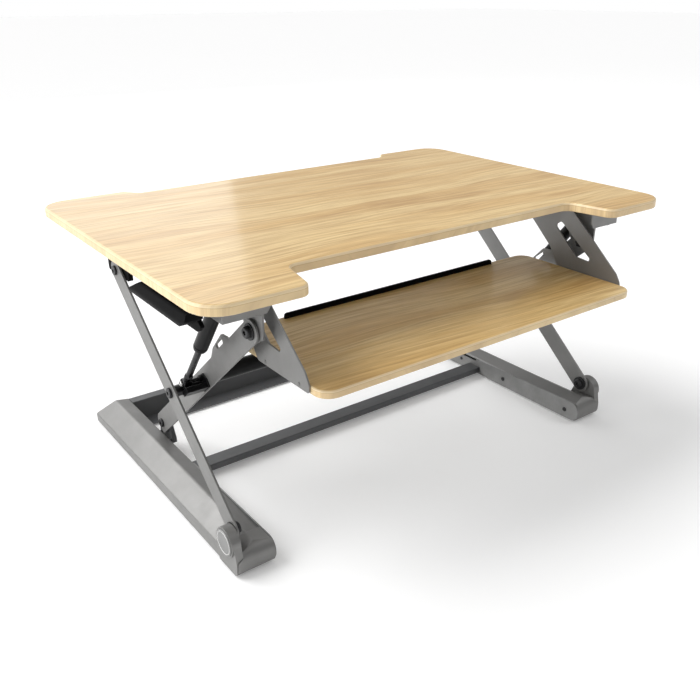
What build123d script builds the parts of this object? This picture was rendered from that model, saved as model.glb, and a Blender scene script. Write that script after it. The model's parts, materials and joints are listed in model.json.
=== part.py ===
from build123d import *
from math import atan2, cos, degrees, hypot, radians, sin
import os

# Standing desk converter, millimetres. X runs to the right, Y to the back, Z up from the floor.
# Depths are first measured from the front edge line of the desktop and moved by DATUM_Y when
# they are written, so that the origin is at the middle of the base footprint. Every right-hand
# piece is drawn at +X and mirrored for the left.

# ---- scissor linkage: two equal arm pairs crossing at mid length ----
ARM_PITCH = 462.0          # pivot to pivot
ARM_ANGLE = 40.6           # above horizontal, in the stored pose
PIVOT_Y = 79.0             # both fixed pivots, at the front
PIVOT_Z = 61.0             # both lower pivots
RUN = ARM_PITCH * cos(radians(ARM_ANGLE))
RISE = ARM_PITCH * sin(radians(ARM_ANGLE))
SLIDE_Y = PIVOT_Y + RUN    # both sliding pivots, at the back
HIGH_Z = PIVOT_Z + RISE    # both upper pivots
CROSS_Y = PIVOT_Y + RUN / 2
CROSS_Z = PIVOT_Z + RISE / 2
ARM_T = 3.5
OUTER_ARM_X = 390.5        # inner face of an outer arm
OUTER_ARM_W = 34.5
INNER_ARM_X = 341.5        # inner face of an inner arm
INNER_ARM_UP = 17.0        # edge distances from the pivot line
INNER_ARM_DOWN = 18.0
FIT = 0.05                 # radial running clearance of a pin in its hole
PIN_R = 5.0

# ---- desktop and keyboard tray ----
DESK_W = 900.0
DESK_TOP = 443.0
BOARD_T = 15.0
DESK_FRONT = -5.0
DESK_BACK = 612.0
DESK_CORNER = 44.0
NOTCH_HALF = 286.0         # front cut-out for the user
NOTCH_DEPTH = 82.0
NOTCH_LEAN = 14.0          # how much wider the cut-out is at its mouth, each side
NOTCH_ROUND = 18.0         # plan radius of its corners
RECESS_HALF = 277.0        # shallow cable recess in the back edge
RECESS_DEPTH = 26.0
EDGE_ROUND = 4.0
UNDER_ROUND = 1.5
UNDER_Z = DESK_TOP - BOARD_T
TRAY_HALF = 317.6
TRAY_FRONT = -53.0
TRAY_BACK = 196.0
TRAY_TOP = 314.5
TRAY_T = 12.0
TRAY_ROUND = 3.0
TRAY_CORNER = 24.0
FENCE_HALF = 224.0
FENCE_Y = 186.0
FENCE_T = 5.0
FENCE_H = 8.5

# ---- base frame ----
BASE_REAR = 612.5
NOSE_Y = 41.0
FOOT_H = 3.0
RAIL_IN = 345.0            # inner wall of a side rail
RAIL_OUT = 406.0
RAIL_RIDGE = 372.0
RIM_Z = 38.0               # height at the inner wall
RIDGE_Z = 46.0
SILL_FRONT = 28.0          # height at the outer wall, falling to the back
SILL_REAR = 18.0
NOSE_TOP = 41.5
SHEET = 2.2
TRACK_Z = 32.0             # slot in the rail wall that the base slider runs in
TRACK_HALF = 2.5
TRACK_FROM = 321.0
TRACK_TO = 588.0
TRACK_PIN_R = 2.2
BAR_Y = 309.0              # front cross bar
BAR_D = 32.0
BAR_Z = 7.0
BAR_H = 12.5
BAR_WALL = 1.6
FLANGE_Y = 531.0           # front lip of the rear beam
BOSS_Y = 71.0
BOSS_Z = 51.0
BOSS_R = 23.5
BOSS_IN = 396.0
BOSS_OUT = 411.0
GROOVE_IN = 17.0
GROOVE_OUT = 18.8

# ---- brackets under the desktop ----
PLATE = 2.5
TRAY_BRACKET_X = 318.0
BRACKET_Y = 53.0           # front face of the front bracket
BRACKET_T = 3.0
BRACKET_Z = 393.0          # its lower edge
BRACKET_IN = 326.0
BRACKET_OUT = 397.0
CHEEK_IN = 360.0           # inner of the two cheeks that hold the spring's upper pin
LEG_X = 336.5
CHANNEL_X = 377.5
CHANNEL_FROM = 325.0
CHANNEL_TO = 592.0
CHANNEL_Z = 384.0
CHANNEL_SLOT_Z = 396.5

# ---- gas springs ----
SPRING_X = 372.0
SPRING_LOW = (252.0, 4.0)  # ball stud, along and above the inner arm from its sliding pivot
SPRING_TOP = (101.0, 411.0)
SPRING_R = 11.0
PAD_T = 2.0
BAR_OUT = 381.0            # reach of the bar below the ball stud
ROD_R = 5.0
CYLINDER_FROM = 98.0       # distances along the spring from the ball stud
CYLINDER_TO = 216.0
EYE_R = 11.0
EYE_HOLE = 8.0
EYE_PIN = 3.5

# ---- squeeze levers ----
MOUNT_IN = BRACKET_OUT + 0.5
LEVER_AXIS_X = 404.0
LEVER_AXIS_Z = 404.0
LEVER_PIN_R = 2.5
LEVER_FROM = 92.0
LEVER_TO = 198.0

DATUM_Y = (TRAY_FRONT + BASE_REAR) / 2


def outline(*corners):
    """Closed flat shape from corners given as (u, v, corner radius), in either turning direction."""
    following = corners[1:] + corners[:1]
    turning = sum(a[0] * b[1] - b[0] * a[1] for a, b in zip(corners, following))
    if turning < 0:
        corners = corners[::-1]
    shape = Polygon(*[(u, v) for u, v, _ in corners], align=None)
    for u, v, radius in corners:
        if radius:
            corner = shape.vertices().sort_by_distance((u, v, 0))[0]
            shape = fillet(corner, radius)
    return shape


def round_slot(start, end, level, half):
    """Slot from start to end whose ends are almost half circles."""
    ends = half - 0.1
    return outline(
        (start, level - half, ends), (start, level + half, ends),
        (end, level + half, ends), (end, level - half, ends))


def disc(u, v, radius):
    return Pos(u, v) * Circle(radius)


def along_x(shape, start, end):
    """Extrude a shape drawn in (y, z) between two x positions."""
    return extrude(Plane.YZ.offset(start) * shape, end - start)


def along_y(shape, start, end):
    """Extrude a shape drawn in (x, z) between two y positions."""
    return extrude(Plane.XZ.offset(-end) * shape, end - start)


def along_z(shape, start, end):
    return extrude(Plane.XY.offset(start) * shape, end - start)


def block(x0, x1, y0, y1, z0, z1):
    return Pos((x0 + x1) / 2, (y0 + y1) / 2, (z0 + z1) / 2) * Box(x1 - x0, y1 - y0, z1 - z0)


def pin(y, z, radius, start, end):
    return along_x(disc(y, z, radius), start, end)


def on_inner_arm(shape):
    """Place a shape drawn along an inner arm: u from its sliding pivot, v towards its lower edge."""
    return Pos(SLIDE_Y, PIVOT_Z) * Rot(0, 0, 180 - ARM_ANGLE) * shape


def inner_arm_point(along, above):
    angle = radians(ARM_ANGLE)
    y = SLIDE_Y - along * cos(angle) + above * sin(angle)
    z = PIVOT_Z + along * sin(angle) + above * cos(angle)
    return y, z


def bolt(y, z, shank_r, head_r, face, head_h, tip):
    """Hex-socket bolt along X: its head stands on the plane x = face, away from x = tip."""
    away = 1 if face > tip else -1
    head = pin(y, z, head_r, min(face, face + away * head_h), max(face, face + away * head_h))
    rim = head.edges().filter_by(GeomType.CIRCLE).sort_by(Axis.X)[-1 if away > 0 else 0]
    head = chamfer(rim, head_h * 0.25)
    top = face + away * head_h
    socket = Pos(y, z) * RegularPolygon(head_r * 0.45, 6)
    depth = top - away * head_h * 0.6
    head -= along_x(socket, min(top, depth), max(top, depth))
    return head + pin(y, z, shank_r, min(face, tip), max(face, tip))


def washer(y, z, outer, hole, start, end):
    return pin(y, z, outer, start, end) - pin(y, z, hole, start - 1, end + 1)


def dome_screw(centre, radius, height, direction):
    """Low-headed screw standing on a face at centre, with its short shank hidden below."""
    face = Plane(origin=centre, z_dir=direction)
    head = extrude(face * Circle(radius), height)
    rim = head.edges().filter_by(GeomType.CIRCLE).sort_by(Axis(centre, direction))[-1]
    head = chamfer(rim, height * 0.45)
    socket = extrude(face.offset(height * 0.4) * RegularPolygon(radius * 0.42, 6), height)
    return head - socket


def save(name, shape):
    export_step(Pos(0, -DATUM_Y, 0) * shape, f"parts/{name}.step")


def save_pair(name, right):
    save(f"{name}_right", right)
    save(f"{name}_left", mirror(right, about=Plane.YZ))


def save_both_in_one(name, right):
    save(name, Compound([*right.solids(), *mirror(right, about=Plane.YZ).solids()]))


# ---------------------------------------------------------------- base frame

def rail_section(sill, inset):
    """Cross-section of a rail: inner wall, two slopes meeting at the ridge, and a low outer wall."""
    shape = outline(
        (RAIL_IN, FOOT_H, 0), (RAIL_IN, RIM_Z, 2), (RAIL_RIDGE, RIDGE_Z, 6),
        (RAIL_OUT, sill, 2.5), (RAIL_OUT, FOOT_H, 0))
    return offset(shape, -inset) if inset else shape


def rail_body(inset):
    """The rail as a solid, its outer wall falling towards the back; inset shrinks it all round."""
    side = outline(
        (NOSE_Y, FOOT_H, 13), (NOSE_Y, RIDGE_Z + 1, 24), (590, RIDGE_Z + 1, 6),
        (BASE_REAR, 20, 5), (BASE_REAR, FOOT_H, 0))
    if inset:
        side = offset(side, -inset)
    front = Plane.XZ.offset(1 - NOSE_Y) * rail_section(SILL_FRONT, inset)
    rear = Plane.XZ.offset(-BASE_REAR - 1) * rail_section(SILL_REAR, inset)
    return loft([front, rear]) & along_x(side, RAIL_IN - 1, RAIL_OUT + 1)


def rail():
    """Pressed steel side rail: sloped top, open underneath, wrapped round at the nose and tail."""
    nose_side = outline(
        (NOSE_Y, FOOT_H, 13), (NOSE_Y, RIDGE_Z + 1, 24), (78, RIDGE_Z + 1, 12), (125, FOOT_H, 0))
    nose_front = outline(
        (RAIL_IN, FOOT_H, 0), (RAIL_IN, NOSE_TOP, 2), (RAIL_RIDGE, RIDGE_Z, 10), (BOSS_IN, RIDGE_Z - 6, 0),
        (BOSS_IN, FOOT_H, 0))
    nose = along_x(nose_side, RAIL_IN, BOSS_IN) & along_y(nose_front, NOSE_Y, 125)
    floor_top = FOOT_H + SHEET + 1
    open_floor = block(RAIL_IN + SHEET, RAIL_OUT - SHEET, NOSE_Y + 20, BASE_REAR - SHEET, 0, floor_top)
    shell = rail_body(0) + nose - rail_body(SHEET) - open_floor
    slot = round_slot(TRACK_FROM, TRACK_TO, TRACK_Z, TRACK_HALF)
    return shell - along_x(slot, RAIL_IN - 1, RAIL_IN + 4) - boss_body()


def boss_body():
    """Pivot housing that closes the outer half of a rail's nose."""
    cheek = outline(
        (BOSS_Y - BOSS_R, BOSS_Z, 0), (42.5, 26, 10), (44, FOOT_H, 8), (98, FOOT_H, 0), (103, 30, 4),
        (BOSS_Y + BOSS_R, BOSS_Z, 0))
    body = along_x(cheek, BOSS_IN, BOSS_OUT - 3) + pin(BOSS_Y, BOSS_Z, BOSS_R, BOSS_IN, BOSS_OUT)
    return body


def boss():
    body = boss_body() - pin(PIVOT_Y, PIVOT_Z, PIN_R, BOSS_IN - 1, BOSS_IN + 10)
    return body - pin(BOSS_Y, BOSS_Z, BOSS_R - 2.5, BOSS_OUT - 2, BOSS_OUT + 1)


def boss_cap():
    cap = pin(BOSS_Y, BOSS_Z, BOSS_R - 2.6, BOSS_OUT - 2, BOSS_OUT + 2)
    cap = fillet(cap.edges().filter_by(GeomType.CIRCLE).sort_by(Axis.X)[-1], 1.4)
    groove = washer(BOSS_Y, BOSS_Z, GROOVE_OUT, GROOVE_IN, BOSS_OUT + 1, BOSS_OUT + 3)
    return cap - groove


def rail_floor():
    edge = SHEET + 0.1
    plate = block(RAIL_IN + edge, RAIL_OUT - edge, NOSE_Y + 22, BASE_REAR - edge, FOOT_H, FOOT_H + SHEET)
    return plate - block(BOSS_IN - 0.1, RAIL_OUT, NOSE_Y, 103.5, 0, 40)


def inner_cover():
    """Moulded cover on the inner wall of the rail's front half."""
    side = outline((NOSE_Y, FOOT_H, 17), (NOSE_Y, 42, 19), (311, RIM_Z - 1, 4), (311, FOOT_H, 30))
    cover = along_x(side, RAIL_IN - 2.4, RAIL_IN)
    return fillet(cover.faces().sort_by(Axis.X)[0].edges(), 1.2)


def track_liner():
    """Low-friction plastic channel behind the slot in the rail wall."""
    wall = RAIL_IN + SHEET
    outside = block(wall, wall + 6, TRACK_FROM - 4, TRACK_TO + 2, TRACK_Z - 5, TRACK_Z + 4)
    groove = block(RAIL_IN, wall + 4.5, TRACK_FROM, TRACK_TO, TRACK_Z - TRACK_HALF, TRACK_Z + TRACK_HALF)
    return outside - groove


def rear_beam():
    """Folded rear member: bottom lip, leaning inner wall, flat top and sloped back."""
    outside = outline(
        (564, FOOT_H, 0), (576, RIM_Z, 1.5), (597, RIM_Z, 3), (BASE_REAR, 20, 4), (BASE_REAR, FOOT_H, 0))
    inside = offset(outside, -SHEET)
    open_floor = outline((568, 0, 0), (568, 8, 0), (BASE_REAR - SHEET, 8, 0), (BASE_REAR - SHEET, 0, 0))
    half = RAIL_IN - 0.1
    shell = along_x(outside, -half, half) - along_x(inside + open_floor, -half - 1, half + 1)
    lip = block(-half, half, FLANGE_Y, 566, FOOT_H, FOOT_H + SHEET)
    return shell + lip


def cross_bar():
    half = RAIL_IN - 0.1
    bar = block(-half, half, BAR_Y, BAR_Y + BAR_D, BAR_Z, BAR_Z + BAR_H)
    bar = fillet(bar.edges().filter_by(Axis.X), 2.0)
    inside = block(
        -half - 1, half + 1, BAR_Y + BAR_WALL, BAR_Y + BAR_D - BAR_WALL,
        BAR_Z + BAR_WALL, BAR_Z + BAR_H - BAR_WALL)
    return bar - inside


def rubber_feet():
    feet = [along_z(disc(375, y, 12), 0, FOOT_H) for y in (80, 330, 590)]
    return Compound([chamfer(f.edges().filter_by(GeomType.CIRCLE).sort_by(Axis.Z)[0], 0.8) for f in feet])


def cover_screws():
    front = [dome_screw((RAIL_IN - 2.4, y, 20), 4.4, 1.6, (-1, 0, 0)) for y in (73, 238)]
    rear = dome_screw((RAIL_IN, 367, 20), 3.4, 1.6, (-1, 0, 0))
    return Compound([*front, rear])


def lower_pivot():
    """Bolt that carries an outer arm on the pivot housing, with a washer each side of the arm."""
    head_face = OUTER_ARM_X - 3.5
    shaft = bolt(PIVOT_Y, PIVOT_Z, PIN_R - FIT, 9.0, head_face, 5.0, BOSS_IN + 9)
    inner = washer(PIVOT_Y, PIVOT_Z, 13.0, PIN_R, head_face, OUTER_ARM_X - 0.2)
    outer = washer(PIVOT_Y, PIVOT_Z, 12.0, PIN_R, OUTER_ARM_X + ARM_T + 0.2, BOSS_IN)
    return Compound([shaft, inner, outer])


# ---------------------------------------------------------------- arms

def outer_arm():
    angle = radians(ARM_ANGLE)
    bar = Pos(CROSS_Y, CROSS_Z) * Rot(0, 0, ARM_ANGLE) * SlotCenterToCenter(ARM_PITCH, OUTER_ARM_W)
    arm = along_x(bar, OUTER_ARM_X, OUTER_ARM_X + ARM_T)
    arm = chamfer(arm.faces().sort_by(Axis.X)[-1].edges(), 0.5)
    for reach in (0, ARM_PITCH / 2, ARM_PITCH):
        y = PIVOT_Y + reach * cos(angle)
        z = PIVOT_Z + reach * sin(angle)
        arm -= pin(y, z, PIN_R + FIT, OUTER_ARM_X - 1, OUTER_ARM_X + ARM_T + 1)
    return arm


def inner_arm():
    """Flat arm with an angled foot, a slotted lock tab near its top and a round upper end."""
    up = -INNER_ARM_UP
    shape = outline(
        (-13, INNER_ARM_DOWN, 5), (-16, -12, 5), (-6, -19, 6), (312, up, 14), (330, -26, 8), (374, -31, 5),
        (392, up, 8), (ARM_PITCH + 17.5, up, 17), (ARM_PITCH + 17.5, INNER_ARM_DOWN, 17.5))
    shape -= Pos(357, -22) * SlotOverall(27, 7.5)
    arm = along_x(on_inner_arm(shape), INNER_ARM_X, INNER_ARM_X + ARM_T)
    arm = chamfer(arm.faces().sort_by(Axis.X)[-1].edges(), 0.4)
    for reach in (0, ARM_PITCH / 2, ARM_PITCH):
        arm -= pin(*inner_arm_point(reach, 0), PIN_R + FIT, INNER_ARM_X - 1, INNER_ARM_X + ARM_T + 1)
    return arm


def cross_pivot():
    """Centre bolt of the scissor with the sleeve that keeps the two arms apart, and its nut."""
    outer_face = OUTER_ARM_X + ARM_T
    shaft = bolt(CROSS_Y, CROSS_Z, PIN_R, 8.5, outer_face, 4.5, INNER_ARM_X - 6)
    sleeve = washer(CROSS_Y, CROSS_Z, 9.0, PIN_R, INNER_ARM_X + ARM_T + 0.3, OUTER_ARM_X)
    nut = along_x(Pos(CROSS_Y, CROSS_Z) * RegularPolygon(8.5, 6), INNER_ARM_X - 6, INNER_ARM_X - 0.3)
    nut -= pin(CROSS_Y, CROSS_Z, PIN_R, INNER_ARM_X - 7, INNER_ARM_X)
    return Compound([shaft, sleeve, nut])


def arm_tube():
    y, z = inner_arm_point(ARM_PITCH / 2 + 26, 3.5)
    return pin(y, z, 13.5, -INNER_ARM_X, INNER_ARM_X) - pin(y, z, 11.9, -INNER_ARM_X - 1, INNER_ARM_X + 1)


def spring_bracket():
    """Black bar on an inner arm just below the gas spring's ball stud, on a pad behind both."""
    face = INNER_ARM_X + ARM_T
    pad = outline((242, 17, 3), (242, -9, 4), (262, -9, 4), (270, 4, 6), (270, 17, 3))
    bar = outline((245, 7, 1), (245, 16, 1.5), (267, 16, 1.5), (267, 7, 1))
    return along_x(on_inner_arm(pad), face, face + PAD_T) + along_x(on_inner_arm(bar), face, BAR_OUT)


def ball_stud():
    y, z = inner_arm_point(*SPRING_LOW)
    face = INNER_ARM_X + ARM_T + PAD_T
    collar = pin(y, z, 5.5, face, face + 5)
    neck = pin(y, z, 3.0, face + 5, SPRING_X)
    ball = Pos(SPRING_X, y, z) * Sphere(5.0)
    return collar + neck + ball


def base_slider_pin():
    outer_face = INNER_ARM_X + ARM_T
    return bolt(SLIDE_Y, PIVOT_Z, PIN_R, 8.0, outer_face, 4.0, 332.0)


# ---------------------------------------------------------------- sliders

def base_slider():
    """Upright carrier that hangs from an inner arm's foot and runs in the rail's slot on two pins."""
    shape = outline(
        (SLIDE_Y - 28, TRACK_Z - 5, 4), (SLIDE_Y + 28, TRACK_Z - 5, 4), (SLIDE_Y + 26, TRACK_Z + 6, 5),
        (SLIDE_Y + 10, PIVOT_Z + 10, 8), (SLIDE_Y - 10, PIVOT_Z + 10, 8), (SLIDE_Y - 26, TRACK_Z + 6, 5))
    body = along_x(shape, 331.5, 339.5) - pin(SLIDE_Y, PIVOT_Z, PIN_R + FIT, 330, 341)
    for side in (-20, 20):
        body += pin(SLIDE_Y + side, TRACK_Z, TRACK_PIN_R, 339, RAIL_IN + SHEET + 3.5)
    return body


def top_slider():
    """Upright carrier on an outer arm's top end; its pins run in the slot of the under-desk channel."""
    shape = outline(
        (SLIDE_Y - 43, HIGH_Z - 9.5, 5), (SLIDE_Y + 43, HIGH_Z - 9.5, 5), (SLIDE_Y + 43, HIGH_Z + 8, 6),
        (SLIDE_Y + 30, HIGH_Z + 40, 6), (SLIDE_Y - 30, HIGH_Z + 40, 6), (SLIDE_Y - 43, HIGH_Z + 8, 6))
    body = along_x(shape, CHANNEL_X + 4, OUTER_ARM_X - 1.5)
    body -= pin(SLIDE_Y, HIGH_Z, PIN_R + FIT, CHANNEL_X, OUTER_ARM_X)
    for side in (-24, 24):
        body += pin(SLIDE_Y + side, CHANNEL_SLOT_Z, TRACK_PIN_R, CHANNEL_X - 3, CHANNEL_X + 5)
    return body


def top_slider_pin():
    return bolt(SLIDE_Y, HIGH_Z, PIN_R, 8.0, OUTER_ARM_X + ARM_T, 4.0, CHANNEL_X + 4.5)


# ---------------------------------------------------------------- desktop group

def desktop_board():
    half = DESK_W / 2
    mouth = NOTCH_HALF + NOTCH_LEAN
    notch_y = DESK_FRONT + NOTCH_DEPTH
    recess_y = DESK_BACK - RECESS_DEPTH
    lobe = RECESS_HALF + 20
    right = [
        (NOTCH_HALF - 3, notch_y, NOTCH_ROUND), (mouth, DESK_FRONT, NOTCH_ROUND),
        (half, DESK_FRONT, DESK_CORNER), (half, DESK_BACK, DESK_CORNER),
        (lobe, DESK_BACK, 12), (RECESS_HALF, recess_y, 12)]
    left = [(-x, y, r) for x, y, r in reversed(right)]
    board = along_z(outline(*right, *left), UNDER_Z, DESK_TOP)
    board = fillet(board.faces().sort_by(Axis.Z)[-1].edges(), EDGE_ROUND)
    return fillet(board.faces().sort_by(Axis.Z)[0].edges(), UNDER_ROUND)


def keyboard_tray():
    shape = outline(
        (-TRAY_HALF, TRAY_FRONT, TRAY_CORNER), (TRAY_HALF, TRAY_FRONT, TRAY_CORNER),
        (TRAY_HALF, TRAY_BACK, TRAY_CORNER), (-TRAY_HALF, TRAY_BACK, TRAY_CORNER))
    tray = along_z(shape, TRAY_TOP - TRAY_T, TRAY_TOP)
    tray = fillet(tray.faces().sort_by(Axis.Z)[-1].edges(), TRAY_ROUND)
    return fillet(tray.faces().sort_by(Axis.Z)[0].edges(), UNDER_ROUND)


def tray_fence():
    strip = block(-FENCE_HALF, FENCE_HALF, FENCE_Y, FENCE_Y + FENCE_T, TRAY_TOP, TRAY_TOP + FENCE_H)
    ends = strip.edges().filter_by(Axis.Y).sort_by(Axis.Z)[-2:]
    strip = fillet(ends, 5.0)
    return fillet(strip.faces().sort_by(Axis.Z)[-1].edges(), 1.0)


def tray_bracket():
    """Side plate that hangs the keyboard tray, with a tapering window and a screwed top flange."""
    low = TRAY_TOP - TRAY_T + 1
    shape = outline(
        (-23.5, low, 4), (-23.5, 316, 14), (-14, 331, 10), (100, UNDER_Z, 0), (224, UNDER_Z, 0),
        (132, 345, 16), (105, low, 8))
    window = outline((34, 336.5, 4), (72, 339.5, 4), (125, 387, 5), (112, 396, 5))
    plate = along_x(shape - window, TRAY_BRACKET_X, TRAY_BRACKET_X + PLATE)
    return plate + block(TRAY_BRACKET_X - 22, TRAY_BRACKET_X + 1, 108, 216, UNDER_Z - PLATE, UNDER_Z)


def front_bracket():
    """Folded bracket in front of the arms: face plate, outer cheek, pivot leg and top flange."""
    back = BRACKET_Y + BRACKET_T
    face = outline(
        (BRACKET_IN, UNDER_Z, 0), (BRACKET_IN, BRACKET_Z + 9, 3), (BRACKET_IN + 6, BRACKET_Z, 2),
        (BRACKET_OUT, BRACKET_Z, 0), (BRACKET_OUT, UNDER_Z, 0))
    face_plate = along_y(face, BRACKET_Y, back)
    flange = block(BRACKET_IN, BRACKET_OUT, BRACKET_Y, 150, UNDER_Z - PLATE, UNDER_Z)
    leg = outline(
        (BRACKET_Y + 1, 354, 6), (BRACKET_Y + 1, UNDER_Z, 0), (132, UNDER_Z, 0), (110, 381, 10),
        (102, 362, 8), (92, 350, 0))
    leg_plate = along_x(leg + disc(PIVOT_Y, HIGH_Z, 17.5), LEG_X, LEG_X + ARM_T)
    leg_plate -= pin(PIVOT_Y, HIGH_Z, PIN_R, LEG_X - 1, LEG_X + ARM_T + 1)
    outer = outline((BRACKET_Y, BRACKET_Z, 0), (94, BRACKET_Z, 6), (126, UNDER_Z, 0), (BRACKET_Y, UNDER_Z, 0))
    inner = outline((86, UNDER_Z, 0), (86, 402, 6), (106, 397, 6), (124, UNDER_Z, 0))
    hole = disc(*SPRING_TOP, EYE_PIN)
    cheeks = along_x(outer - hole, BRACKET_OUT - PLATE, BRACKET_OUT)
    cheeks += along_x(inner - hole, CHEEK_IN - PLATE, CHEEK_IN)
    return face_plate + flange + leg_plate + cheeks


def spring_top_pin():
    shaft = bolt(*SPRING_TOP, EYE_PIN, 6.5, CHEEK_IN - PLATE, 3.0, BRACKET_OUT - 0.2)
    spacer = washer(*SPRING_TOP, 6.0, EYE_PIN, SPRING_X + 6.5, BRACKET_OUT - PLATE)
    return Compound([shaft, spacer])


def upper_pivot():
    """Bolt that joins an inner arm to the leg of the front bracket, with a large dark washer."""
    face = INNER_ARM_X + ARM_T + 2.0
    shaft = bolt(PIVOT_Y, HIGH_Z, PIN_R, 8.5, face, 6.5, LEG_X - 6)
    outer = washer(PIVOT_Y, HIGH_Z, 12.0, PIN_R, INNER_ARM_X + ARM_T + 0.2, face)
    between = washer(PIVOT_Y, HIGH_Z, 14.0, PIN_R, LEG_X + ARM_T, INNER_ARM_X - 0.2)
    nut = along_x(Pos(PIVOT_Y, HIGH_Z) * RegularPolygon(8.5, 6), LEG_X - 6, LEG_X)
    nut -= pin(PIVOT_Y, HIGH_Z, PIN_R, LEG_X - 7, LEG_X + 1)
    return Compound([shaft, outer, between, nut])


def slide_channel():
    """Angle under the desktop; the slot in its web guides the top slider."""
    slot_half = TRACK_PIN_R + 0.3
    web = block(CHANNEL_X, CHANNEL_X + PLATE, CHANNEL_FROM, CHANNEL_TO, CHANNEL_Z, UNDER_Z)
    web = fillet(web.edges().filter_by(Axis.X).sort_by(Axis.Z)[:2], 8)
    slot = round_slot(CHANNEL_FROM + 12, CHANNEL_TO - 16, CHANNEL_SLOT_Z, slot_half)
    slot = along_x(slot, CHANNEL_X - 1, CHANNEL_X + PLATE + 1)
    flange = block(CHANNEL_X - 24, CHANNEL_X + 1, CHANNEL_FROM, CHANNEL_TO, UNDER_Z - PLATE, UNDER_Z)
    return web + flange - slot


def desk_screws():
    under = UNDER_Z - PLATE
    places = [(308, 120), (308, 204), (330, 142), (352, 142), (366, 345), (366, 460), (366, 575)]
    return Compound([dome_screw((x, y, under), 4.0, 2.0, (0, 0, -1)) for x, y in places])


def tray_screws():
    middle = TRAY_TOP - TRAY_T / 2
    face = TRAY_BRACKET_X + PLATE
    return Compound([dome_screw((face, y, middle), 2.6, 0.8, (1, 0, 0)) for y in (0, 85)])


# ---------------------------------------------------------------- gas springs

def spring_frame():
    """Axis of the spring: start at the ball stud, unit direction and length in the (y, z) plane."""
    low_y, low_z = inner_arm_point(*SPRING_LOW)
    dy = SPRING_TOP[0] - low_y
    dz = SPRING_TOP[1] - low_z
    return low_y, low_z, degrees(atan2(dz, dy)), hypot(dy, dz)


def turned_along_spring(profile):
    """Turn a half profile, (distance along the spring, radius), about the spring's axis."""
    low_y, low_z, angle, _ = spring_frame()
    body = revolve(Polygon(*profile, align=None), Axis.X)
    along = (0, cos(radians(angle)), sin(radians(angle)))
    return Plane(origin=(SPRING_X, low_y, low_z), x_dir=along, z_dir=(1, 0, 0)) * body


def gas_rod():
    """Polished rod with the ball socket screwed on its end."""
    low_y, low_z, _, _ = spring_frame()
    rod = turned_along_spring([(6, 0), (6, 6.5), (20, 6.5), (24, ROD_R), (118, ROD_R), (118, 0)])
    socket = pin(low_y, low_z, 8.0, SPRING_X - 7, SPRING_X + 7)
    socket = fillet(socket.edges().filter_by(GeomType.CIRCLE), 1.5)
    cup = Pos(SPRING_X, low_y, low_z) * Sphere(5.0 + FIT)
    mouth = pin(low_y, low_z, 4.6, SPRING_X - 8, SPRING_X)
    return rod + socket - cup - mouth


def gas_cylinder():
    """Pressure tube, with a tapered rod guide below and an eye above."""
    _, _, _, length = spring_frame()
    start = CYLINDER_FROM
    ring = start + 12
    body = turned_along_spring([
        (start, 0), (start, 8), (start + 3, 10), (start + 7, SPRING_R), (ring, SPRING_R),
        (ring, SPRING_R - 0.8), (ring + 1.6, SPRING_R - 0.8), (ring + 1.6, SPRING_R),
        (CYLINDER_TO - 4, SPRING_R), (CYLINDER_TO, 5), (length - 4, 5), (length - 4, 0)])
    bore_r = ROD_R + 0.4
    bore = turned_along_spring([(start - 1, 0), (start - 1, bore_r), (start + 66, bore_r), (start + 66, 0)])
    body = body + pin(*SPRING_TOP, EYE_R, SPRING_X - 5.5, SPRING_X + 5.5)
    return body - bore - pin(*SPRING_TOP, EYE_HOLE, SPRING_X - 12, SPRING_X + 12)


# ---------------------------------------------------------------- squeeze levers

def lever():
    """Moulded paddle under the side edge, hinged along its inner edge, with a rib under its nose."""
    section = outline(
        (400, 396, 3), (400, 410, 4), (416, 414, 3), (439, 414, 5), (443, 398, 10),
        (436, 384, 10), (414, 387, 8))
    side = outline(
        (66, 416, 0), (66, 402, 4), (92, 388, 10), (110, 383, 8), (248, 383, 6), (258, 390, 6), (206, 416, 0))
    body = along_y(section, 60, 262) & along_x(side, 396, 446)
    gap = block(390, 416, 60, LEVER_FROM + 8, 380, 416) + block(390, 416, LEVER_TO - 8, 262, 380, 416)
    rib = outline((118, 401, 0), (118, 379, 3), (82, 379, 2), (72, 387.5, 2), (85, 401, 3))
    body = body - gap + along_x(rib, 412, 418)
    return body - along_y(disc(LEVER_AXIS_X, LEVER_AXIS_Z, LEVER_PIN_R + FIT), 50, 270)


def lever_mount():
    """Fixed carrier of a squeeze lever: a top plate with two hinge lugs."""
    top = block(MOUNT_IN, 440, LEVER_FROM - 5, LEVER_TO + 8, UNDER_Z - 3, UNDER_Z)
    lug = outline((MOUNT_IN, 396, 4), (MOUNT_IN, UNDER_Z, 0), (411, UNDER_Z, 0), (411, 396, 5))
    lugs = along_y(lug, LEVER_FROM, LEVER_FROM + 6) + along_y(lug, LEVER_TO - 6, LEVER_TO)
    hinge = disc(LEVER_AXIS_X, LEVER_AXIS_Z, LEVER_PIN_R)
    return top + lugs - along_y(hinge, LEVER_FROM - 10, LEVER_TO + 10)


def lever_pin():
    return along_y(disc(LEVER_AXIS_X, LEVER_AXIS_Z, LEVER_PIN_R), LEVER_FROM - 1, LEVER_TO + 1)


os.makedirs("parts", exist_ok=True)

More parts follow.
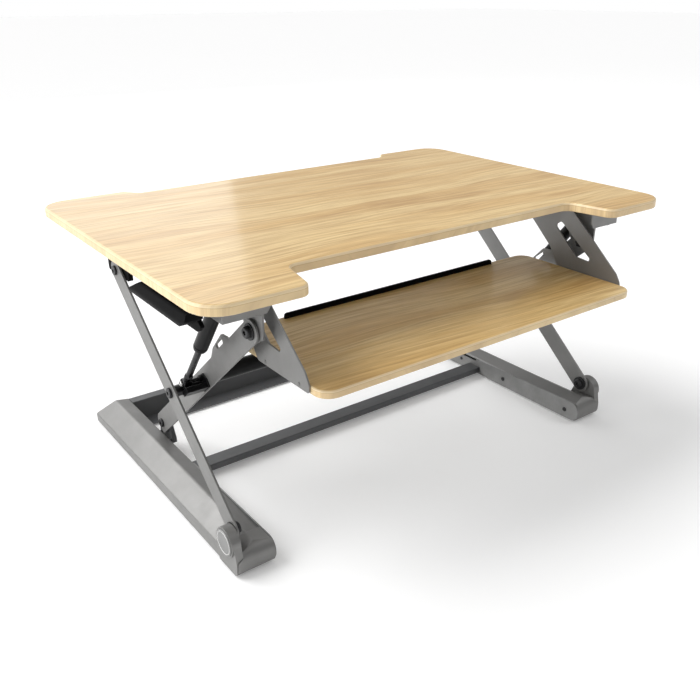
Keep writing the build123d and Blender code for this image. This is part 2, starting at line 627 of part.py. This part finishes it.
PAIRS = {
    "rail": rail, "rail_floor": rail_floor, "inner_cover": inner_cover, "track_liner": track_liner,
    "pivot_housing": boss, "housing_cap": boss_cap, "lower_pivot_bolt": lower_pivot,
    "outer_arm": outer_arm, "cross_pivot": cross_pivot, "top_slider_pin": top_slider_pin,
    "inner_arm": inner_arm, "spring_bracket": spring_bracket, "base_slider": base_slider,
    "top_slider": top_slider, "front_bracket": front_bracket, "tray_bracket": tray_bracket,
    "slide_channel": slide_channel, "gas_rod": gas_rod, "gas_cylinder": gas_cylinder,
    "lever": lever, "lever_mount": lever_mount,
}
SHARED = {
    "rubber_feet": rubber_feet, "cover_screws": cover_screws, "ball_studs": ball_stud,
    "base_slider_pins": base_slider_pin, "upper_pivot_bolts": upper_pivot, "desk_screws": desk_screws,
    "tray_screws": tray_screws, "spring_top_pins": spring_top_pin, "lever_pins": lever_pin,
}
SINGLES = {
    "rear_beam": rear_beam, "cross_bar": cross_bar, "arm_tube": arm_tube,
    "desktop_board": desktop_board, "keyboard_tray": keyboard_tray, "tray_fence": tray_fence,
}

for name, make in PAIRS.items():
    save_pair(name, make())
for name, make in SHARED.items():
    save_both_in_one(name, make())
for name, make in SINGLES.items():
    save(name, make())
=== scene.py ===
"""Materials, small turned pieces, floor, light and camera for a standing desk converter, around its frame."""

import json
import math

import bmesh
import bpy
from mathutils import Matrix, Vector


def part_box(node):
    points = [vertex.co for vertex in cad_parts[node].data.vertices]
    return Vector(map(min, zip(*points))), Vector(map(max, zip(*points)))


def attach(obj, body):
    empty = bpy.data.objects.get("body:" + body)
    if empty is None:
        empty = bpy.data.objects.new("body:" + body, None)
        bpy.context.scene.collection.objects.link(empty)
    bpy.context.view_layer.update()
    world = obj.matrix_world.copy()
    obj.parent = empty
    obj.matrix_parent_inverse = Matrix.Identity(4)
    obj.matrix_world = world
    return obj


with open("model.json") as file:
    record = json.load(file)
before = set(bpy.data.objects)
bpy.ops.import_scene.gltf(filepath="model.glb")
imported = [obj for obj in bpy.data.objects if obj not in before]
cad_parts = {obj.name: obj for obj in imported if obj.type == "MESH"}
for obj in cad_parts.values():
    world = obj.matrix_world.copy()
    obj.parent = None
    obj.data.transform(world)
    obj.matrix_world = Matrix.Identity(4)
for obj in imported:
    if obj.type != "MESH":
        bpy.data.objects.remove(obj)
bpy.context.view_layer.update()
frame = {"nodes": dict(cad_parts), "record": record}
nodes = frame["nodes"]
record = frame["record"]

OUTWARD = {"left": -1, "right": 1}
SLOT_OF = {part["node"]: part["material_slot"] for part in record["subparts"]}


# ---------------------------------------------------------------- shader helpers

class Shader:
    """A node tree with short calls for the few node kinds that the materials use."""

    def __init__(self, name):
        self.material = bpy.data.materials.new(name)
        self.material.use_nodes = True
        self.tree = self.material.node_tree
        self.bsdf = self.tree.nodes["Principled BSDF"]

    def node(self, kind, inputs=(), **settings):
        """A new node with its settings; inputs maps a socket's name to a value or to another socket."""
        made = self.tree.nodes.new(kind)
        for key, value in settings.items():
            setattr(made, key, value)
        for key, value in dict(inputs).items():
            self.put(made.inputs[key], value)
        return made

    def put(self, socket, value):
        """Link another socket to this one, or set a plain value on it."""
        if isinstance(value, bpy.types.NodeSocket):
            self.tree.links.new(value, socket)
        else:
            socket.default_value = value

    def set(self, **values):
        """Set Principled sockets; a name is the socket's, with _ for a space."""
        for key, value in values.items():
            self.put(self.bsdf.inputs[key.replace("_", " ")], value)

    def place(self, scale=(1, 1, 1), offset=(0, 0, 0)):
        """The object's own coordinates in metres, scaled and moved."""
        coords = self.node("ShaderNodeTexCoord").outputs["Object"]
        inputs = {"Vector": coords, "Scale": scale, "Location": offset}
        return self.node("ShaderNodeMapping", inputs).outputs["Vector"]

    def noise(self, vector, scale, detail, roughness):
        """Cloudy noise from 0 to 1, mostly near 0.5."""
        inputs = {"Vector": vector, "Scale": scale, "Detail": detail, "Roughness": roughness}
        return self.node("ShaderNodeTexNoise", inputs).outputs["Fac"]

    def math(self, operation, a, b=0.0):
        """One arithmetic step on two values or sockets."""
        made = self.node("ShaderNodeMath", operation=operation)
        self.put(made.inputs[0], a)
        self.put(made.inputs[1], b)
        return made.outputs[0]

    def remap(self, value, low, high, to_low=0.0, to_high=1.0):
        """A smooth step from to_low at low to to_high at high; low may be the larger."""
        inputs = {"Value": value, "From Min": low, "From Max": high, "To Min": to_low, "To Max": to_high}
        return self.node("ShaderNodeMapRange", inputs, interpolation_type="SMOOTHSTEP").outputs["Result"]

    def mix(self, factor, a, b):
        """Colour a where the factor is 0, and b where it is 1."""
        made = self.node("ShaderNodeMix", data_type="RGBA")
        self.put(made.inputs["Factor"], factor)
        self.put(made.inputs[6], a)
        self.put(made.inputs[7], b)
        return made.outputs[2]

    def bump(self, height, strength, distance, normal=None):
        """Normal with a fine relief, distance metres deep."""
        inputs = {"Height": height, "Strength": strength, "Distance": distance}
        if normal is not None:
            inputs["Normal"] = normal
        return self.node("ShaderNodeBump", inputs).outputs["Normal"]

    def rounded(self, radius):
        """Normal with the edges softened over a small radius."""
        return self.node("ShaderNodeBevel", {"Radius": radius}, samples=6).outputs["Normal"]

    def edge_mask(self, soft_normal, low, high):
        """1 on worn outer edges, 0 on flats."""
        true_normal = self.node("ShaderNodeNewGeometry").outputs["Normal"]
        dot = self.node("ShaderNodeVectorMath", operation="DOT_PRODUCT")
        self.put(dot.inputs[0], true_normal)
        self.put(dot.inputs[1], soft_normal)
        return self.remap(self.math("SUBTRACT", 1.0, dot.outputs["Value"]), low, high)


def tint(color, factor):
    """The colour made lighter or darker, with full opacity."""
    return tuple(min(1.0, c * factor) for c in color[:3]) + (1.0,)


# ---------------------------------------------------------------- materials

WOOD_LIGHT = (0.82, 0.60, 0.275, 1)
WOOD_MID = (0.70, 0.45, 0.165, 1)
WOOD_DARK = (0.42, 0.22, 0.055, 1)
WOOD_EDGE = (0.84, 0.72, 0.50, 1)
WOOD_BACK = (0.50, 0.49, 0.47, 1)
WOOD_PORE = tint(WOOD_DARK, 0.7)
WOOD_FLASH = tint(WOOD_LIGHT, 1.12)
SEAM_HALF = 0.0002          # half width of the dark seam under a board's rounded edge
SEAM_FADE = 0.0005          # distance from the seam's middle at which it is gone


def wood_grain(s, split):
    """Straight grain along X: colour, and the fine and pore noises that shape its surface."""
    slow = s.noise(s.place((1.1, 3.2, 1.0)), 1.0, 2.0, 0.5)
    wander = s.math("MULTIPLY", s.math("SUBTRACT", slow, 0.5), 0.16)
    across = s.math("ADD", split.outputs["Y"], wander)

    def stretched(along, over):
        inputs = {"X": s.math("MULTIPLY", split.outputs["X"], along), "Y": s.math("MULTIPLY", across, over)}
        return s.node("ShaderNodeCombineXYZ", inputs).outputs["Vector"]

    broad = s.noise(stretched(1.2, 16.0), 1.0, 3.0, 0.55)
    patches = s.noise(stretched(1.5, 9.0), 1.0, 4.0, 0.6)
    streaks = s.noise(stretched(2.4, 70.0), 1.0, 4.0, 0.62)
    lines = s.noise(stretched(5.0, 190.0), 1.0, 4.0, 0.65)
    fine = s.noise(stretched(10.0, 560.0), 1.0, 3.0, 0.65)
    pores = s.noise(stretched(42.0, 1500.0), 1.0, 2.0, 0.5)
    rings = s.math("SINE", s.math("MULTIPLY", s.math("ADD", broad, s.math("MULTIPLY", across, 2.2)), 66.0))

    layers = (
        # pattern, where it starts, where it is full, its strength, its colour
        (streaks, 0.48, 0.70, 0.38, WOOD_DARK),
        (patches, 0.54, 0.68, 0.60, WOOD_DARK),
        (lines, 0.48, 0.64, 0.48, WOOD_DARK),
        (lines, 0.46, 0.34, 0.45, WOOD_FLASH),
        (rings, -0.2, 1.0, 0.20, WOOD_DARK),
        (fine, 0.45, 0.70, 0.28, WOOD_DARK),
        (pores, 0.60, 0.72, 0.30, WOOD_PORE),
    )
    color = s.mix(s.remap(broad, 0.38, 0.62), WOOD_LIGHT, WOOD_MID)
    for pattern, start, full, strength, layer_color in layers:
        color = s.mix(s.math("MULTIPLY", s.remap(pattern, start, full), strength), color, layer_color)
    return color, fine, pores


def wood_material(name, top, lip):
    """Pale straight-grained laminate with a creamier edge band, a painted cream highlight on its rounded
    upper edge and a plain grey backing sheet.
    top is the board's upper face, and lip the height of its rounded edge, which ends at a fine seam."""
    s = Shader(name)
    split = s.node("ShaderNodeSeparateXYZ", {"Vector": s.place()})
    color, fine, pores = wood_grain(s, split)

    normal = s.node("ShaderNodeNewGeometry").outputs["Normal"]
    facing = s.node("ShaderNodeSeparateXYZ", {"Vector": normal}).outputs["Z"]
    side = s.remap(s.math("ABSOLUTE", facing), 0.80, 0.30)
    color = s.mix(s.math("MULTIPLY", side, 0.42), color, WOOD_EDGE)
    below = s.math("SUBTRACT", top, split.outputs["Z"])
    # Painted highlight: the rounded upper edge is mixed towards a brighter cream, in place of light shining
    # on it.
    painted_edge_highlight = s.math("MULTIPLY", s.remap(facing, 0.985, 0.90), s.remap(below, lip, lip * 0.8))
    color = s.mix(s.math("MULTIPLY", painted_edge_highlight, 0.45), color, tint(WOOD_EDGE, 1.15))
    seam = s.remap(s.math("ABSOLUTE", s.math("SUBTRACT", below, lip)), SEAM_FADE, SEAM_HALF)
    color = s.mix(s.math("MULTIPLY", s.math("MULTIPLY", seam, side), 0.40), color, tint(WOOD_DARK, 0.8))
    color = s.mix(s.remap(facing, -0.5, -0.9), color, WOOD_BACK)

    rough = s.remap(fine, 0.3, 0.7, 0.36, 0.48)
    s.set(Base_Color=color, Roughness=s.math("ADD", rough, s.math("MULTIPLY", side, 0.12)))
    s.set(Specular_IOR_Level=0.3, Coat_Weight=0.45, Coat_Roughness=0.12)
    grain = s.math("ADD", fine, s.math("MULTIPLY", pores, 0.5))
    s.set(Normal=s.bump(grain, 0.10, 0.0004))
    return s.material


WORN_PAINT = (0.72, 0.72, 0.71, 1)
WORN_STEEL = (0.45, 0.45, 0.44, 1)
RUBBER_BLACK = (0.025, 0.025, 0.025, 1)
RUBBER_DUST = (0.10, 0.10, 0.095, 1)


def metal_paint(name, color, roughness, metallic=0.35, orange_peel=0.12, wear=0.35, shine=0.5):
    """Sprayed metallic paint: faint flake and orange peel, cloudy roughness, brighter worn edges."""
    s = Shader(name)
    here = s.place()
    cloud = s.noise(here, 9.0, 4.0, 0.6)
    flake = s.noise(here, 3200.0, 2.0, 0.6)
    peel = s.noise(here, 900.0, 2.0, 0.5)
    smudge = s.noise(s.place(offset=(3.0, 1.0, 7.0)), 26.0, 5.0, 0.65)
    base = s.mix(s.remap(cloud, 0.3, 0.7), tint(color, 0.94), tint(color, 1.05))
    base = s.mix(s.math("MULTIPLY", s.remap(flake, 0.5, 0.75), 0.25), base, tint(color, 1.35))
    soft = s.rounded(0.0008)
    mask = s.edge_mask(soft, 0.02, 0.25)
    worn = s.math("MULTIPLY", mask, s.remap(smudge, 0.42, 0.72))
    base = s.mix(s.math("MULTIPLY", worn, wear), base, WORN_PAINT)
    rough = s.remap(smudge, 0.3, 0.75, roughness - 0.05, roughness + 0.08)
    s.set(Base_Color=base, Metallic=metallic, Roughness=rough, Specular_IOR_Level=shine)
    s.set(Normal=s.bump(peel, orange_peel, 0.0002, soft))
    return s.material


def moulded_plastic(name, color, roughness, grain=0.35, shine=0.45):
    """Fine spark-eroded plastic with rubbed, slightly glossier edges."""
    s = Shader(name)
    here = s.place()
    pits = s.noise(here, 1500.0, 3.0, 0.6)
    cloud = s.noise(here, 16.0, 4.0, 0.6)
    soft = s.rounded(0.0010)
    mask = s.edge_mask(soft, 0.02, 0.3)
    base = s.mix(s.remap(cloud, 0.3, 0.7), tint(color, 0.85), tint(color, 1.2))
    base = s.mix(s.math("MULTIPLY", mask, 0.4), base, tint([c + 0.05 for c in color[:3]], 1.3))
    rough = s.remap(cloud, 0.3, 0.7, roughness - 0.05, roughness + 0.06)
    rough = s.math("SUBTRACT", rough, s.math("MULTIPLY", mask, 0.12))
    s.set(Base_Color=base, Roughness=rough, Specular_IOR_Level=shine)
    s.set(Normal=s.bump(pits, grain, 0.0002, soft))
    return s.material


def turned_steel(name, color, roughness, lines=700.0):
    """Plated or polished steel with fine turning marks and smudges."""
    s = Shader(name)
    marks = s.noise(s.place((lines, 40.0, 40.0)), 1.0, 3.0, 0.6)
    stain = s.noise(s.place(), 60.0, 4.0, 0.6)
    soft = s.rounded(0.0006)
    mask = s.edge_mask(soft, 0.02, 0.3)
    base = s.mix(s.remap(stain, 0.35, 0.7), tint(color, 0.8), tint(color, 1.15))
    base = s.mix(s.math("MULTIPLY", mask, 0.25), base, WORN_STEEL)
    rough = s.remap(s.math("ADD", marks, stain), 0.7, 1.3, roughness - 0.06, roughness + 0.12)
    s.set(Base_Color=base, Metallic=0.95, Roughness=rough)
    s.set(Normal=s.bump(marks, 0.08, 0.0001, soft))
    return s.material


def rubber_material(name):
    """Matt black rubber with a little pale dust."""
    s = Shader(name)
    here = s.place()
    speck = s.noise(here, 1100.0, 4.0, 0.7)
    dust = s.noise(here, 70.0, 4.0, 0.6)
    dusty = s.math("MULTIPLY", s.remap(dust, 0.5, 0.8), 0.5)
    base = s.mix(dusty, RUBBER_BLACK, RUBBER_DUST)
    s.set(Base_Color=base, Roughness=s.remap(speck, 0.3, 0.7, 0.75, 0.92), Specular_IOR_Level=0.3)
    s.set(Normal=s.bump(speck, 0.5, 0.0003))
    return s.material


SILVER = (0.225, 0.223, 0.218)
DARK_GREY = (0.095, 0.097, 0.100)
BLACK = (0.004, 0.004, 0.0043)
PALE_GREY = (0.20, 0.20, 0.197)
BOLT_GREY = (0.055, 0.055, 0.057)
ROD_GREY = (0.05, 0.05, 0.052)

SLOT_MATERIALS = {
    "frame_paint": metal_paint("silver_paint", SILVER, 0.44, metallic=0.55),
    "beam_paint": metal_paint("grey_paint", DARK_GREY, 0.45, metallic=0.45),
    "black_metal": metal_paint(
        "black_paint", BLACK, 0.34, metallic=0.0, orange_peel=0.1, wear=0.05, shine=0.14),
    "black_plastic": moulded_plastic("black_plastic", BLACK, 0.60, grain=0.2, shine=0.05),
    "grey_plastic": moulded_plastic("grey_plastic", PALE_GREY, 0.45, grain=0.2),
    "bolts": turned_steel("dark_bolts", BOLT_GREY, 0.34),
    "polished_rod": turned_steel("dark_rod", ROD_GREY, 0.26, lines=1500.0),
    "rubber": rubber_material("rubber_pad"),
}

# Height of each board's rounded upper edge. A board has its own wood, so its seam sits at its own height.
BOARD_LIPS = {"desktop_board": 0.0042, "keyboard_tray": 0.0032}


def board_material(name):
    """Wood for one board, measured from the board's own mesh."""
    top = max(vertex.co.z for vertex in nodes[name].data.vertices)
    return wood_material(f"wood_{name}", top, BOARD_LIPS[name])


for name, obj in nodes.items():
    slot = SLOT_OF[name]
    material = board_material(name) if slot == "wood" else SLOT_MATERIALS[slot]
    obj.data.materials.clear()
    obj.data.materials.append(material)


# ---------------------------------------------------------------- small turned pieces

RING_STEPS = 96
SHARP_ANGLE = math.radians(35)
SOCKET_R = 0.008
RIM_SHARE = 2.5             # a bevel takes at most one part in this many of a ring's width or height

# Start and end of each kind of ring, counted outwards from a face or centre of the CAD piece that it is
# on, then its inner radius, outer radius and bevel.
CAP_RING = (-0.0011, 0.0002, 0.0171, 0.0187, 0.0004)
NUT_INSERT = (-0.0012, 0.0004, 0.0050, 0.0070, 0.0005)
RIVET = (0.0068, 0.0105, 0.0012, 0.0045, 0.0008)
WELD_BEAD = (0.0, -0.0026, 0.0132, 0.0156, 0.0012)


def ends(node, out):
    """X of a node's inner end and of its outer end; out is 1 on the right and -1 on the left."""
    low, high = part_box(node)
    return (low[0], high[0]) if out > 0 else (high[0], low[0])


def centre(node):
    """Middle of a node's box."""
    low, high = (Vector(corner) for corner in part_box(node))
    return (low + high) / 2


def socket_centre(node):
    """Centre of the ball that a gas rod's socket turns on: the low back end of the rod's box."""
    low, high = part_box(node)
    return Vector((centre(node).x, high[1] - SOCKET_R, low[2] + SOCKET_R))


def ring_profile(start, end, inner, outer, bevel):
    """Corners of a bevelled rectangle, as pairs of a place along X and a radius."""
    cut = min(bevel, abs(end - start) / RIM_SHARE, (outer - inner) / RIM_SHARE)
    step = math.copysign(cut, end - start)
    return [
        (start, inner + cut), (start, outer - cut), (start + step, outer), (end - step, outer),
        (end, outer - cut), (end, inner + cut), (end - step, inner), (start + step, inner)]


def turned_ring(name, body, material, middle, face, out, shape):
    """Ring with bevelled rims about an axis along X through middle; it rides on a CAD body.
    face is the X that the ring's start and end are counted from, towards out."""
    start, end, *section = shape
    profile = ring_profile(face + out * start, face + out * end, *section)
    size = len(profile)
    verts = []
    faces = []
    for k in range(RING_STEPS):
        angle = 2 * math.pi * k / RING_STEPS
        this = k * size
        following = (k + 1) % RING_STEPS * size
        for i, (x, radius) in enumerate(profile):
            after = (i + 1) % size
            verts.append((x, middle.y + radius * math.cos(angle), middle.z + radius * math.sin(angle)))
            faces.append((this + i, this + after, following + after, following + i))
    mesh = bpy.data.meshes.new(name)
    mesh.from_pydata(verts, [], faces)
    fix = bmesh.new()
    fix.from_mesh(mesh)
    bmesh.ops.recalc_face_normals(fix, faces=fix.faces)
    fix.to_mesh(mesh)
    fix.free()
    for polygon in mesh.polygons:
        polygon.use_smooth = True
    mesh.materials.append(material)
    ring = bpy.data.objects.new(name, mesh)
    bpy.context.scene.collection.objects.link(ring)
    split = ring.modifiers.new("split", "EDGE_SPLIT")
    split.split_angle = SHARP_ANGLE
    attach(ring, body)


bright_steel = turned_steel("bright_steel", (0.62, 0.62, 0.61), 0.25)
cap_silver = metal_paint("cap_silver", (0.62, 0.62, 0.61), 0.28, metallic=0.6, orange_peel=0.05, wear=0.2)
nylon = moulded_plastic("nylon", (0.55, 0.56, 0.58), 0.5, grain=0.15)
weld = metal_paint("weld_bead", (0.22, 0.218, 0.214), 0.5, metallic=0.5, orange_peel=0.9)

for side, out in OUTWARD.items():
    cap = f"housing_cap_{side}"
    turned_ring(
        f"cap_ring_{side}", "base", cap_silver,
        centre(cap), ends(cap, out)[1], out, CAP_RING)

    pivot = f"cross_pivot_{side}"
    turned_ring(
        f"nyloc_insert_{side}", "outer_arms", nylon,
        centre(pivot), ends(pivot, out)[0], out, NUT_INSERT)

    rod = f"gas_rod_{side}"
    ball = socket_centre(rod)
    turned_ring(f"socket_rivet_{side}", rod, bright_steel, ball, ball.x, out, RIVET)

    tube = "arm_tube"
    turned_ring(
        f"tube_weld_{side}", "inner_arms", weld,
        centre(tube), ends(tube, out)[1], out, WELD_BEAD)


# ---------------------------------------------------------------- floor, light and camera

def floor_material():
    """Pale matt floor; its faint glow keeps the shadows pale."""
    s = Shader("studio_floor")
    cloud = s.noise(s.place(), 3.0, 3.0, 0.5)
    s.set(Base_Color=s.mix(cloud, (0.90, 0.90, 0.90, 1), (0.92, 0.92, 0.92, 1)), Roughness=0.6)
    s.set(Specular_IOR_Level=0.15, Emission_Color=(1, 1, 1, 1), Emission_Strength=0.15)
    return s.material


def make_floor(size=60.0):
    """One large square at z = 0, which isn't part of the object."""
    mesh = bpy.data.meshes.new("floor")
    half = size / 2
    corners = [(-half, -half, 0), (half, -half, 0), (half, half, 0), (-half, half, 0)]
    mesh.from_pydata(corners, [], [(0, 1, 2, 3)])
    floor = bpy.data.objects.new("floor", mesh)
    bpy.context.scene.collection.objects.link(floor)
    mesh.materials.append(floor_material())


def make_world(back, front):
    """White surroundings, brighter behind the object than in front; the camera sees full white."""
    world = bpy.data.worlds.new("studio")
    world.use_nodes = True
    tree = world.node_tree
    background = tree.nodes["Background"]
    background.inputs["Color"].default_value = (1, 1, 1, 1)

    def map_range(**limits):
        made = tree.nodes.new("ShaderNodeMapRange")
        for name, value in limits.items():
            made.inputs[name.replace("_", " ")].default_value = value
        return made

    coords = tree.nodes.new("ShaderNodeTexCoord")
    split = tree.nodes.new("ShaderNodeSeparateXYZ")
    tree.links.new(coords.outputs["Generated"], split.inputs["Vector"])
    lighting = map_range(From_Min=-0.7, From_Max=0.7, To_Min=front, To_Max=back)
    tree.links.new(split.outputs["Y"], lighting.inputs["Value"])
    path = tree.nodes.new("ShaderNodeLightPath")
    seen = map_range(To_Max=1.0)
    tree.links.new(lighting.outputs["Result"], seen.inputs["To Min"])
    tree.links.new(path.outputs["Is Camera Ray"], seen.inputs["Value"])
    tree.links.new(seen.outputs["Result"], background.inputs["Strength"])
    bpy.context.scene.world = world
    bpy.context.scene.view_settings.view_transform = "Standard"


def add_light(name, kind, energy, direction, place=(0, 0, 0)):
    """A light that shines along a direction; returns its settings."""
    data = bpy.data.lights.new(name, kind)
    data.energy = energy
    light = bpy.data.objects.new(name, data)
    light.location = place
    light.rotation_euler = Vector(direction).to_track_quat("-Z", "Y").to_euler()
    bpy.context.scene.collection.objects.link(light)
    return data


def wide_sun(direction, strength, softness):
    """Even light over the whole floor; softness is the width of the source in degrees."""
    add_light("sun", "SUN", strength, direction).angle = math.radians(softness)


def area_light(name, place, target, size, power):
    """Rectangular panel of a size in metres that faces a target."""
    data = add_light(name, "AREA", power, Vector(target) - Vector(place), place)
    data.shape = "RECTANGLE"
    data.size, data.size_y = size


CAMERA_PLACE = (-0.8021, -1.04535, 0.7709)
CAMERA_AZIMUTH = math.radians(-36.388)
CAMERA_ELEVATION = math.radians(24.642)
CAMERA_ROLL = math.radians(-0.12)
SENSOR_WIDTH = 36.0
FOCAL_LENGTH = 40.1091


def make_camera():
    """The picture's viewpoint: 0.8 m left and 1 m in front of the object, looking down at it."""
    data = bpy.data.cameras.new("camera")
    data.sensor_width = SENSOR_WIDTH
    data.lens = FOCAL_LENGTH
    camera = bpy.data.objects.new("camera", data)
    turn = Matrix.Rotation(CAMERA_AZIMUTH, 4, "Z")
    tilt = Matrix.Rotation(math.pi / 2 - CAMERA_ELEVATION, 4, "X")
    spin = Matrix.Rotation(CAMERA_ROLL, 4, "Z")
    camera.matrix_world = Matrix.Translation(CAMERA_PLACE) @ turn @ tilt @ spin
    bpy.context.scene.collection.objects.link(camera)
    bpy.context.scene.camera = camera


make_floor()
make_world(back=0.52, front=0.28)
wide_sun(direction=(0.50, -0.50, -0.71), strength=2.4, softness=45)
area_light("panel", place=(0.55, 5.0, 2.0), target=(0.1, 0.0, 0.4), size=(3.6, 3.2), power=48)
area_light("right_front", place=(2.7, -2.0, 3.5), target=(0.1, 0.0, 0.35), size=(2.4, 2.4), power=34)
area_light("left_fill", place=(-4.0, 0.0, 1.0), target=(0.0, 0.0, 0.25), size=(2.5, 1.4), power=54)
make_camera()
